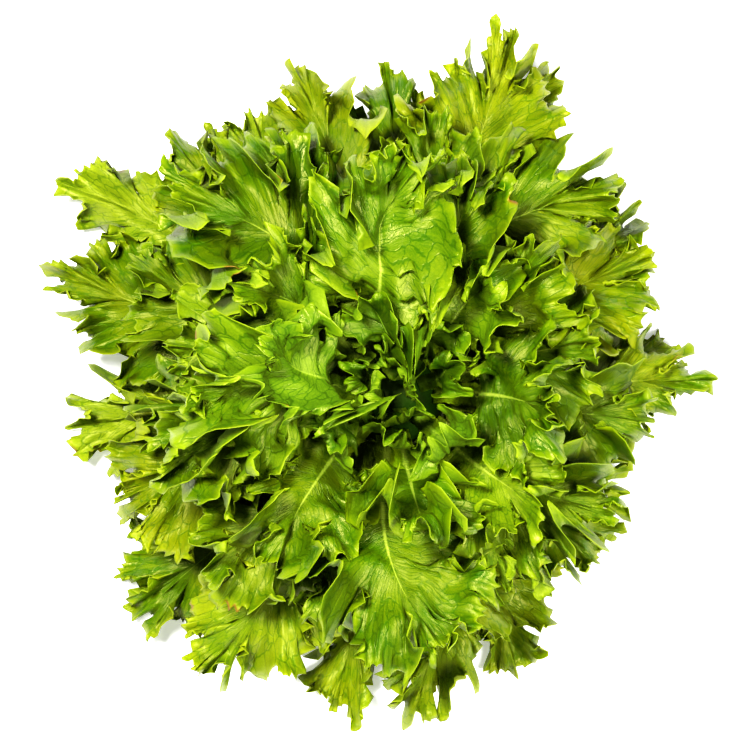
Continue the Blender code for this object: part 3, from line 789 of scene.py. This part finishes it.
@functools.lru_cache(maxsize=None)
def fine_net(steps, inner, outer):
    """Vertices as row, side and column, faces and rim of the fine sheet.

    The inner columns skip every other row.
    """
    index, vertex = numbering(steps)

    def square(row, side, column, step):
        return (vertex(row, side, column), vertex(row, side, column + 1),
                vertex(row + step, side, column + 1), vertex(row + step, side, column))

    faces = []
    for side in SIDES:
        own = []
        for row in range(0, steps, 2):
            own += [square(row, side, column, 2) for column in range(inner - 1)]
            near, far = vertex(row, side, inner - 1), vertex(row + 2, side, inner - 1)
            first, middle, last = (vertex(row + step, side, inner) for step in range(3))
            own += [(near, first, middle), (near, middle, far), (far, middle, last)]
        for row in range(steps):
            own += [square(row, side, column, 1) for column in range(inner, inner + outer - 1)]
        faces += own if side == -1 else [face[::-1] for face in own]
    return np.array(list(index)), faces, outline(vertex, steps, inner + outer - 1)


def fine_rows(leaf, rows):
    """Row coordinates of the fine rows between the rows of veins."""
    margin = MARGIN_STEPS[leaf.ring]
    parts = [np.arange(margin) / margin + row for row in range(rows - 1)]
    return np.concatenate(parts + [[rows - 1]])


def rib_starts(plan, u):
    """Where the veins of the row coordinates u leave the rib, 0 to 1."""
    return np.interp(u, np.arange(len(plan["starts"])), plan["starts"])


def curled(places, vein, ease, rng):
    """The rows' veins, bent up or down towards the margin: away from the rib and height, at each column."""
    curl = CURL * ripple(places, CURL_LENGTH, rng)
    curl = curl * np.minimum(np.abs(curl) / CURL_EASE, 1) * ease
    stray = np.clip(ripple(places, 2 * CURL_LENGTH, rng), -CURL_FROM_LIMIT, CURL_FROM_LIMIT)
    start = (CURL_FROM + CURL_FROM_STRAY * stray)[:, None]
    dense = np.linspace(0, 1, CURL_STEPS)
    bend = curl[:, None] * np.clip((dense - start) / (1 - start), 0, 1) ** CURL_POWER
    pick = np.rint(FINE_COLUMNS * (CURL_STEPS - 1)).astype(int)
    parts = (np.cos(bend), np.sin(bend))
    return (summed(part)[:, pick] / (CURL_STEPS - 1) * vein[:, None] for part in parts)


def side_shape(leaf, plan, side, u, rng):
    """The fine rows of one side: along, across and height for each row and column, and distances."""
    angles, veins, rises = plan["sides"][SIDES.index(side)]
    columns = FINE_COLUMNS
    starts = rib_starts(plan, u)
    rib = starts * RIB_SHARE * plan["length"]
    angle = smooth_rows(u, angles)
    vein = lobed_rows(u, veins, row_kinds(leaf)[0])
    margin = np.stack([rib + vein * np.cos(angle), side * vein * np.sin(angle)], axis=1)
    places = np.concatenate([[0], np.cumsum(np.linalg.norm(np.diff(margin, axis=0), axis=1))])
    way = np.gradient(margin, axis=0)
    way = way / np.maximum(np.linalg.norm(way, axis=1), TINY)[:, None]
    outward = side * np.stack([-way[:, 1], way[:, 0]], axis=1)
    ends = np.clip((u[-1] - u) / END_ROWS, 0, 1) * np.clip(u / END_ROWS, 0, 1)
    blade = np.clip((u - 1) / 2, 0, 1)
    room = ends * np.minimum(vein / FULL_VEIN, 1) ** ROOM_POWER * (STALK_ROOM + (1 - STALK_ROOM) * blade)
    size = (leaf.vein / FULL_VEIN) ** ROOM_POWER
    tooth = size * room * sum(teeth(places, *kind, rng) for kind in TEETH)
    away, lift = curled(places, vein, ends * blade, rng)
    room = room[:, None]
    vein = vein[:, None]
    to_edge = vein * (1 - columns)
    push = tooth[:, None] * np.clip(1 - to_edge / TOOTH_DEPTH, 0, 1)
    height = smooth_rows(u, rises)[:, None] * columns ** WAVE_POWER + lift
    shift = np.zeros_like(height)
    for wavelength, strength in FOLDS:
        up, aside = folds(places, to_edge, wavelength, strength * FRILL[leaf.ring], rng)
        height = height + room * up
        shift = shift + room * aside
    along = rib[:, None] + away * np.cos(angle)[:, None] + shift * way[:, :1] + push * outward[:, :1]
    across = side * away * np.sin(angle)[:, None] + shift * way[:, 1:] + push * outward[:, 1:]
    for wavelength, swell in SWELLS:
        for _ in range(SWELL_SINES):
            turn = rng.uniform(0, math.pi)
            own = TURN / (wavelength * rng.uniform(*SWELL_STRAY))
            wave = own * (along * math.cos(turn) + across * math.sin(turn)) + rng.uniform(0, TURN)
            height = height + swell * np.sin(wave) * room * np.minimum(columns * SWELL_EASE, 1)
    taper = RIB_TAPER + (1 - RIB_TAPER) * (1 - starts) ** RIB_TAPER_POWER
    to_rib = vein * columns / taper[:, None]
    at_edge, at_rib, least = ROW_GAP
    row_gap = columns * vein * at_edge + (1 - columns) * plan["length"] * at_rib + least
    to_vein = np.minimum(u % 1, 1 - u % 1)[:, None] * row_gap
    return np.stack([along, across, height, to_rib, to_edge, to_vein], axis=-1)


def envelope(field, sign):
    """The floor (sign 1) or roof (sign -1) with slopes no steeper than ENVELOPE_SLOPE."""
    field = np.clip(field.reshape(THETA_STEPS, T_STEPS) * sign, -ENVELOPE_LIMIT, ENVELOPE_LIMIT)
    t = np.arange(T_STEPS) * T_STEP
    out, _ = arch(ENVELOPE_LAM, t)
    metric, _ = spread(ENVELOPE_LAM, t)
    aside = ENVELOPE_SLOPE * out * (TURN / THETA_STEPS) / metric
    along = ENVELOPE_SLOPE * T_STEP / metric
    for _ in range(ENVELOPE_ROUNDS):
        for shift in (-1, 1):
            field = np.maximum(field, np.roll(field, shift, axis=0) - aside)
        field[:, 1:] = np.maximum(field[:, 1:], field[:, :-1] - along[1:])
        field[:, :-1] = np.maximum(field[:, :-1], field[:, 1:] - along[:-1])
    return field * sign


def sample(field, theta, t):
    """The field at theta and t, between its grid's nodes."""
    a = theta * THETA_STEPS / TURN
    b = np.clip(t / T_STEP, 0, T_STEPS - 1.001)
    x, y = np.floor(a).astype(int), b.astype(int)
    fx, fy = a - x, b - y
    x, after = x % THETA_STEPS, (x + 1) % THETA_STEPS
    low, high = (field[x, row] * (1 - fx) + field[after, row] * fx for row in (y, y + 1))
    return low * (1 - fy) + high * fy


def leaf_lift(laid, u, side):
    """The coarse sheet's lift at the fine rows and columns of one side."""
    plan = laid["plan"]
    rows = len(plan["starts"])
    net, _, _ = leaf_net(rows, len(COLUMNS))
    table = np.zeros((rows, len(COLUMNS)))
    own = (net[:, 1] == side) | (net[:, 1] == 0) | (net[:, 0] == rows - 1)
    table[net[own, 0], net[own, 2]] = laid["lift"][own]
    first, second, third = (smooth_rows(u, table[:, column]) for column in range(3))
    x = FINE_COLUMNS
    middle = COLUMNS[1]
    return (first[:, None] * (x - middle) * (x - 1) / middle
            + second[:, None] * x * (x - 1) / (middle * (middle - 1))
            + third[:, None] * x * (x - middle) / (1 - middle))


def fine_half_thickness(leaf, plan, u, to_rib, columns):
    """Half of the thickness above and below the middle of the sheet."""
    fade = np.clip(1 - rib_starts(plan, u), THINNEST_RIB, 1) ** RIB_FADE_POWER
    size = min(leaf.vein / FULL_VEIN, 1)
    rib = FINE_RIB_HALF * size * fade * np.exp(-(to_rib / FINE_RIB_WIDTH) ** 2)
    edge = FINE_BLADE_HALF * (1 - EDGE_THINNING * columns)
    return edge + RIB_ABOVE * rib, edge + rib


def fine_leaf(laid, top):
    """Points, faces and marks of the closed fine shell of one leaf, which ends softly at the head's top."""
    leaf, plan = laid["leaf"], laid["plan"]
    rng = np.random.default_rng(leaf.seed + FINE_SEED)
    u = fine_rows(leaf, len(plan["starts"]))
    net, faces, rim = fine_net(len(u) - 1, len(INNER_COLUMNS), len(OUTER_COLUMNS))
    row, side, column = net.T
    own = (side != -1).astype(int)
    shapes = np.array([side_shape(leaf, plan, side, u, rng) for side in SIDES])
    lift = np.array([leaf_lift(laid, u, side) for side in SIDES])[own, row, column]
    along, across, height, to_rib, to_edge, to_vein = shapes[own, row, column].T
    theta, lam, t = place(leaf, plan, along, across, height)
    columns = FINE_COLUMNS[column]
    above, below = fine_half_thickness(leaf, plan, u[row], to_rib, columns)
    metric, _ = spread(lam, t)
    lowest = sample(envelope(laid["floor"], 1), theta, t) + (FINE_GAP + below) / metric
    highest = sample(envelope(laid["roof"], -1), theta, t) - (FINE_GAP + above) / metric
    lam = np.clip(lam + lift, lowest, np.maximum(highest, lowest))
    lam = np.minimum(above_floor(lam, t, metric, below), HIGHEST_LAM)
    points = stand(theta, lam, t)
    over = np.maximum(points[:, 2] - (top - TOP_EASE), 0)
    room = TOP_ROOM + TOP_EASE
    points[:, 2] += room * (1 - np.exp(-over / room)) - over
    points[:, 2] = np.maximum(points[:, 2], FLOOR_GAP + FLOOR_THICKNESS_GAIN * below)
    kinds = [np.array([face for face in faces if len(face) == count]) for count in (3, 4)]
    normals = point_normals(points, kinds)
    upper, under = lean(points + normals * above[:, None]), lean(points - normals * below[:, None])
    marks = np.stack([to_vein, to_edge, to_rib], axis=1) / MARK_REACH
    way = np.stack([u[row], columns, np.full(len(row), leaf.seed * SEED_STEP)], axis=1)
    return upper, under, faces, rim, np.clip(marks, 0, 1), way


def add_object(name, data):
    """A new object in the scene."""
    thing = bpy.data.objects.new(name, data)
    bpy.context.scene.collection.objects.link(thing)
    return thing


def mesh_object(name, points, faces, material):
    """A new smooth object of the given points and faces."""
    mesh = bpy.data.meshes.new(name)
    mesh.from_pydata(points.tolist(), [], faces)
    mesh.shade_smooth()
    mesh.materials.append(material)
    return add_object(name, mesh)


def leaf_piece(name, shells, material):
    """One piece of the given shells, with their marks for the material."""
    points, faces, marks, ways = [], [], [], []
    for upper, under, own_faces, rim, mark, way in shells:
        base = sum(len(part) for part in points)
        count = len(upper)
        own = own_faces + [tuple(corner + count for corner in face[::-1]) for face in own_faces]
        own += [(after, here, here + count, after + count) for here, after in zip(rim, rim[1:] + rim[:1])]
        faces += [tuple(base + corner for corner in face) for face in own]
        points += [upper, under]
        for side in (0.0, 1.0):
            marks.append(np.concatenate([mark, np.full((count, 1), side)], axis=1))
            ways.append(way)
    piece = mesh_object(name, np.concatenate(points), faces, material)
    colour = piece.data.color_attributes.new("marks", "FLOAT_COLOR", "POINT")
    colour.data.foreach_set("color", np.concatenate(marks).astype(np.float32).ravel())
    vector = piece.data.attributes.new("way", "FLOAT_VECTOR", "POINT")
    vector.data.foreach_set("vector", np.concatenate(ways).astype(np.float32).ravel())
    return piece


# Materials

class Paint:
    """A new material, and the steps that its nodes are made in."""

    def __init__(self, name):
        self.material = bpy.data.materials.new(name)
        self.material.use_nodes = True
        self.tree = self.material.node_tree
        self.shader = self.tree.nodes["Principled BSDF"]

    def fill(self, node, inputs):
        """Each of the node's inputs, wired to a socket or set to a value."""
        for name, value in dict(inputs).items():
            if isinstance(value, bpy.types.NodeSocket):
                self.tree.links.new(value, node.inputs[name])
            else:
                node.inputs[name].default_value = value

    def node(self, kind, inputs=(), out=0, **settings):
        """The output of a new node."""
        made = self.tree.nodes.new("ShaderNode" + kind)
        for setting, value in settings.items():
            setattr(made, setting, value)
        self.fill(made, inputs)
        return made.outputs[out]

    def noise(self, place, scale, detail=2.0, out=0):
        """Soft noise at the place."""
        return self.node("TexNoise", {"Vector": place, "Scale": scale, "Detail": detail}, out)

    def cells(self, place, scale):
        """How far the place is from the edge of its cell."""
        return self.node("TexVoronoi", {"Vector": place, "Scale": scale}, feature="DISTANCE_TO_EDGE")

    def chance(self, value):
        """A number from 0 to 1 that belongs to the value."""
        return self.node("TexWhiteNoise", {"W": value}, noise_dimensions="1D")

    def ramp(self, value, low, high, to_low=0.0, to_high=1.0):
        """The value carried smoothly from low-high to to_low-to_high."""
        return self.node("MapRange", {
            "Value": value, "From Min": low, "From Max": high, "To Min": to_low, "To Max": to_high,
        }, interpolation_type="SMOOTHSTEP")

    def fade(self, value, near, far):
        """1 up to near, falling smoothly to 0 at far."""
        return self.ramp(value, near, far, 1.0, 0.0)

    def blend(self, share, first, second):
        """Two colours blended."""
        return self.node("Mix", {0: share, 6: first, 7: second}, 2, data_type="RGBA")

    def times(self, first, second):
        """The product of two values."""
        return self.node("Math", {0: first, 1: second}, operation="MULTIPLY")

    def plus(self, first, second, clamp=False):
        """The sum of two values."""
        return self.node("Math", {0: first, 1: second}, operation="ADD", use_clamp=clamp)

    def bump(self, relief, strength, distance):
        """The normal of a surface with this relief."""
        return self.node("Bump", {"Height": relief, "Strength": strength, "Distance": distance})


def leaf_material(name, look):
    """Satin leaf: green blade with fanned veins and nerves, pale rib, bright thin edge, paler underside."""
    paint = Paint(name)
    deep, light, vein_green, rib_green, edge_green, under_green, glow_green = (
        (*colour, 1) for colour in look[:-1])
    marks = paint.node("Attribute", out="Color", attribute_name="marks")
    to_vein, to_edge, to_rib = paint.node("SeparateColor", {0: marks}).node.outputs
    under = marks.node.outputs["Alpha"]
    way = paint.node("Attribute", out="Vector", attribute_name="way")
    place = paint.node("TexCoord", out="Object")
    seed = paint.node("SeparateXYZ", {0: way}, "Z")
    streak = paint.noise(paint.node("Mapping", {"Vector": way, "Scale": STREAKS}), 1.0, 3.0)
    cloud = paint.noise(place, CLOUDS)
    network = paint.ramp(paint.cells(place, NETWORK), 0.0, 0.22)
    vein = paint.times(paint.fade(to_vein, 0.02, 0.14), paint.ramp(to_rib, 0.10, 1.0, 1.0, 0.25))
    bent = paint.node("VectorMath", {
        0: paint.node("Mapping", {"Vector": way, "Scale": NERVES}),
        1: paint.noise(place, NERVE_BENDS, out="Color")}, operation="ADD")
    nerve = paint.fade(paint.cells(bent, 1.0), 0.015, 0.075)
    margin = paint.times(paint.fade(to_edge, 0.03, 0.60), 0.25)
    rim = paint.times(paint.fade(to_edge, 0.01, 0.05), 0.22)
    spots = paint.ramp(paint.noise(place, BURNT_SPOTS, 1.0), 0.70, 0.75)

    tone = paint.plus(paint.times(paint.ramp(cloud, 0.3, 0.7), 0.45), paint.times(paint.chance(seed), 0.35))
    tone = paint.plus(tone, paint.times(paint.ramp(streak, 0.35, 0.7), 0.25), clamp=True)
    colour = paint.blend(tone, deep, light)
    layers = (
        (paint.times(paint.ramp(paint.chance(paint.plus(seed, 5.3)), 0.45, 0.95), 0.7), under_green),
        (paint.times(vein, 0.5), vein_green),
        (paint.times(nerve, 0.48), deep),
        (paint.times(paint.fade(to_rib, 0.06, 0.30), 0.80), rib_green),
        (paint.times(under, 0.5), under_green),
        (paint.ramp(network, 0.0, 1.0, 0.16, 0.0), deep),
        (paint.node("Math", {0: margin, 1: rim}, operation="MAXIMUM"), edge_green),
        (paint.times(spots, paint.fade(to_edge, 0.04, 0.22)), BURNT_TIP),
    )
    for share, over in layers:
        colour = paint.blend(share, colour, over)

    relief = paint.times(streak, 0.32)
    for part, rise in ((network, 0.06), (paint.noise(place, WRINKLES), 0.16), (nerve, -0.22)):
        relief = paint.plus(relief, paint.times(part, rise))
    bump = paint.bump(relief, RELIEF_STRENGTH, RELIEF_DEPTH)
    gloss = paint.plus(paint.times(under, 0.12), paint.ramp(cloud, 0.3, 0.7, 0.34, 0.48))
    paint.fill(paint.shader, {"Base Color": colour, "Roughness": gloss, "Normal": bump,
                              "Specular IOR Level": 0.58, "Specular Tint": SHINE})
    glow = paint.blend(0.55, colour, glow_green)
    through = paint.node("BsdfTranslucent", {"Color": glow, "Normal": bump})
    mixed = paint.node("MixShader", {0: look.through, 1: paint.shader.outputs[0], 2: through})
    paint.fill(paint.tree.nodes["Material Output"], {"Surface": mixed})
    return paint.material


def stem_material():
    """Pale stem, browned on its cut face, and dark green at the crown: partly the green of its young growth,
    partly painted shade from the leaves around it.
    """
    paint = Paint("stem_skin")
    place = paint.node("TexCoord", out="Object")
    height = paint.node("SeparateXYZ", {0: place}, "Z")
    cloud = paint.noise(place, 160.0, 5.0)
    fibre = paint.noise(paint.node("Mapping", {"Vector": place, "Scale": (420.0, 420.0, 40.0)}), 1.0, 4.0)
    colour = paint.blend(paint.ramp(cloud, 0.35, 0.65), (0.42, 0.50, 0.16, 1), (0.66, 0.70, 0.42, 1))
    cut = paint.fade(height, 0.0004, 0.0022)
    browned = paint.blend(paint.ramp(cloud, 0.4, 0.62), (0.52, 0.42, 0.22, 1), (0.24, 0.12, 0.04, 1))
    colour = paint.blend(paint.times(cut, 0.8), colour, browned)
    # Dark green at the crown: the green of the young growth, darkened as painted shade from the leaves
    # around it
    colour = paint.blend(paint.ramp(height, 0.022, 0.034), colour, (0.012, 0.045, 0.001, 1))
    bump = paint.bump(paint.plus(fibre, paint.times(cloud, 0.6)), 0.6, 0.0006)
    gloss = paint.ramp(cloud, 0.3, 0.7, 0.42, 0.65)
    paint.fill(paint.shader, {"Base Color": colour, "Roughness": gloss, "Normal": bump,
                              "Specular IOR Level": 0.2, "Specular Tint": (1.0, 0.95, 0.35, 1.0)})
    return paint.material


def floor_material():
    """Plain near-white floor that glows: painted light that washes out the head's shadow on it, with no glow
    close round the head so the shade there stays, and more glow far away where the lamps' light fades.
    """
    paint = Paint("pale_floor")
    place = paint.node("TexCoord", out="Object")
    colour = paint.blend(paint.noise(place, 3.0), (0.90, 0.90, 0.90, 1), (0.93, 0.93, 0.93, 1))
    away = paint.node("VectorMath", {0: place}, "Value", operation="LENGTH")
    # Painted light: no glow in the shade close round the head, glow beyond it, and more far away
    glow = paint.plus(paint.ramp(away, *FLOOR_DARK, 0.0, FLOOR_GLOW),
                      paint.ramp(away, *FAR_FLOOR, 0.0, 1.0 - FLOOR_GLOW))
    paint.fill(paint.shader, {"Base Color": colour, "Roughness": 0.85, "Specular IOR Level": 0.1,
                              "Emission Color": (1.0, 1.0, 1.0, 1.0), "Emission Strength": glow})
    return paint.material


# The scene

def stem_piece(material):
    """The stem with its round cut edge and the low ridges where leaves were stripped off."""
    heights = np.concatenate([EDGE_LEVELS, np.linspace(*SIDE_LEVELS)])
    radii = np.interp(heights, [0, CUT_EDGE, *(z for _, z in STEM_WAIST)],
                      [CUT_FACE_RADIUS, CUT_FACE_RADIUS + CUT_EDGE, *(radius for radius, _ in STEM_WAIST)])
    angles = np.linspace(CROWN_FROM, CROWN_TO, FINE_CROWN_RINGS)
    heights = np.concatenate([heights, CROWN_MIDDLE + CROWN_RADIUS * np.sin(angles)])
    radii = np.concatenate([radii, CROWN_RADIUS * np.cos(angles)])
    turn = np.arange(FINE_STEM_SIDES) * TURN / FINE_STEM_SIDES
    fade, end = SCARS_TO
    rise = np.clip(heights / SCARS_FROM, 0, 1) * np.clip((end - heights) / (end - fade), 0, 1)
    heights = heights[:, None]
    scar = np.prod([np.sin(count * turn + steep * heights) for count, steep in SCARS], axis=0)
    ring = radii[:, None] - STEM_SCAR * rise[:, None] * (1 + scar) / 2
    points = lean(np.stack([ring * np.cos(turn), ring * np.sin(turn), heights + 0 * turn], axis=-1))
    index = np.arange(len(heights) * FINE_STEM_SIDES).reshape(len(heights), FINE_STEM_SIDES)
    after = np.roll(index, -1, axis=1)
    sides = np.stack([index[:-1], after[:-1], after[1:], index[1:]], axis=-1)
    faces = [*sides.reshape(-1, 4).tolist(), index[0, ::-1].tolist(), index[-1].tolist()]
    return mesh_object("fine_stem", points.reshape(-1, 3), faces, material)


def add_floor():
    """A plain pale floor under the head."""
    corners = np.array([(-1, -1, 0), (1, -1, 0), (1, 1, 0), (-1, 1, 0)]) * FLOOR_SIZE / 2
    floor = mesh_object("floor", corners, [(0, 1, 2, 3)], floor_material())


def aim(thing, place, way):
    """The light or camera put at the place, to look that way."""
    thing.location = place
    thing.rotation_euler = way.to_track_quat("-Z", "Y").to_euler()


def add_light(name, place, size, power):
    """A soft square light that looks at the head."""
    light = bpy.data.lights.new(name, "AREA")
    light.size = size
    light.energy = power
    aim(add_object(name, light), Vector(place), LIGHT_TARGET - Vector(place))


def add_studio():
    """Soft white surroundings, lights and the colour transform."""
    scene = bpy.context.scene
    world = bpy.data.worlds.new("studio")
    world.use_nodes = True
    background = world.node_tree.nodes["Background"]
    background.inputs["Color"].default_value = (1, 1, 1, 1)
    background.inputs["Strength"].default_value = WORLD_STRENGTH
    scene.world = world
    for light in LIGHTS:
        add_light(*light)
    settings = scene.view_settings
    settings.view_transform = "Standard"
    settings.look = "None"
    settings.use_curve_mapping = True
    combined = settings.curve_mapping.curves[3]
    for point in CONTRAST:
        combined.points.new(*point)
    settings.curve_mapping.update()


def add_camera():
    """The camera at the photo's angle: nearly straight above, the photo's top towards +Y."""
    camera = bpy.data.cameras.new("camera")
    camera.sensor_width = SENSOR_WIDTH
    camera.lens = SENSOR_WIDTH * CAMERA_DISTANCE / FRAME_WIDTH
    thing = add_object("camera", camera)
    back = Vector((0, -math.cos(CAMERA_ELEVATION), math.sin(CAMERA_ELEVATION)))
    aim(thing, CAMERA_TARGET + back * CAMERA_DISTANCE, -back)
    bpy.context.scene.camera = thing


def add_leaves(top):
    """Every leaf as its own piece, but the small heart leaves as one; top is the height of the solids."""
    heart = []
    materials = {ring: leaf_material(f"{ring}_leaf", look) for ring, look in LOOKS.items()}
    for laid in lay_all():
        name, ring = laid["leaf"][:2]
        if ring == "heart":
            heart.append((name, fine_leaf(laid, top)))
            continue
        piece = leaf_piece("fine_" + name, [fine_leaf(laid, top)], materials[ring])
        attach(piece, "root")
        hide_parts(name)
    piece = leaf_piece("fine_heart_leaves", [shell for _, shell in heart], materials["heart"])
    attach(piece, "root")
    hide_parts(*(name for name, _ in heart))


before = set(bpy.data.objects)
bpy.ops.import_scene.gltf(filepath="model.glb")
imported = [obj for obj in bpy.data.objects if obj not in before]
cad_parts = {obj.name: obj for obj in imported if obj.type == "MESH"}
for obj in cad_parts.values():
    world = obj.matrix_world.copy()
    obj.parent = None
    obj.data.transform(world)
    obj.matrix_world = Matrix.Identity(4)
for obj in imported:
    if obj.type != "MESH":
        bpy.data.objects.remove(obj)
cad_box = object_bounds()
add_camera()
add_floor()
add_studio()
stem = stem_piece(stem_material())
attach(stem, "root")
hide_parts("stem")
add_leaves(cad_box[1][2])
